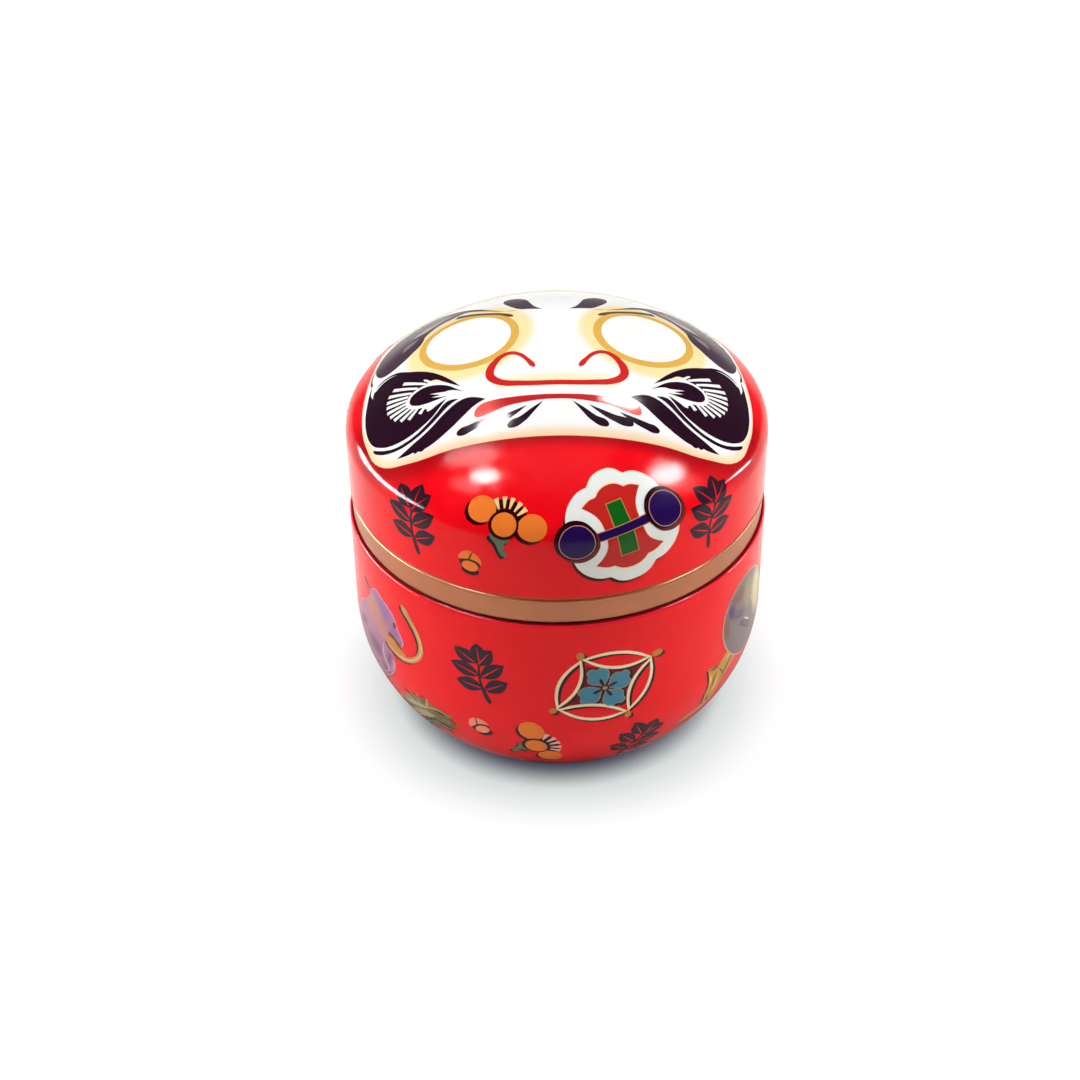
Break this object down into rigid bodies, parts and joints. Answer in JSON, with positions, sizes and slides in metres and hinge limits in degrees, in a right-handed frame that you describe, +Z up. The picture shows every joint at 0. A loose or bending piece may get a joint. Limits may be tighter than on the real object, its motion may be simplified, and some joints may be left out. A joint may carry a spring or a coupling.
{
  "type": "daruma tea caddy",
  "caption": "Round pressed-tin tea caddy with a domed lift-off lid, printed as a red daruma doll, with a neck ring and a knobbed inner lid under the lid.",
  "frame": {"origin": "centre of the ring-shaped face that the caddy stands on", "axes": "+Z up along the axis that all the shells are turned about, face printed towards -Y, +X to the viewer's right"},
  "size_m": [0.0808, 0.0808, 0.0832],
  "materials": {
    "printed_red": "glossy printed lacquer on tinplate",
    "bare_tin": "plain tinplate",
    "gold_lacquer": "gold-lacquered metal"
  },
  "bodies": {
    "body": {"body_shell": "printed_red", "neck_ring": "bare_tin"},
    "inner_lid": {"inner_lid": "bare_tin", "inner_lid_knob": "gold_lacquer", "knob_rivet": "bare_tin"},
    "lid": {"lid_shell": "printed_red"}
  },
  "joints": [
    {"name": "inner_lid_lift", "type": "slide", "parent": "body", "child": "inner_lid", "axis": [0, 0, 1], "range_m": [0, 0.06]},
    {"name": "lid_lift", "type": "slide", "parent": "inner_lid", "child": "lid", "axis": [0, 0, 1], "range_m": [0, 0.06]}
  ]
}
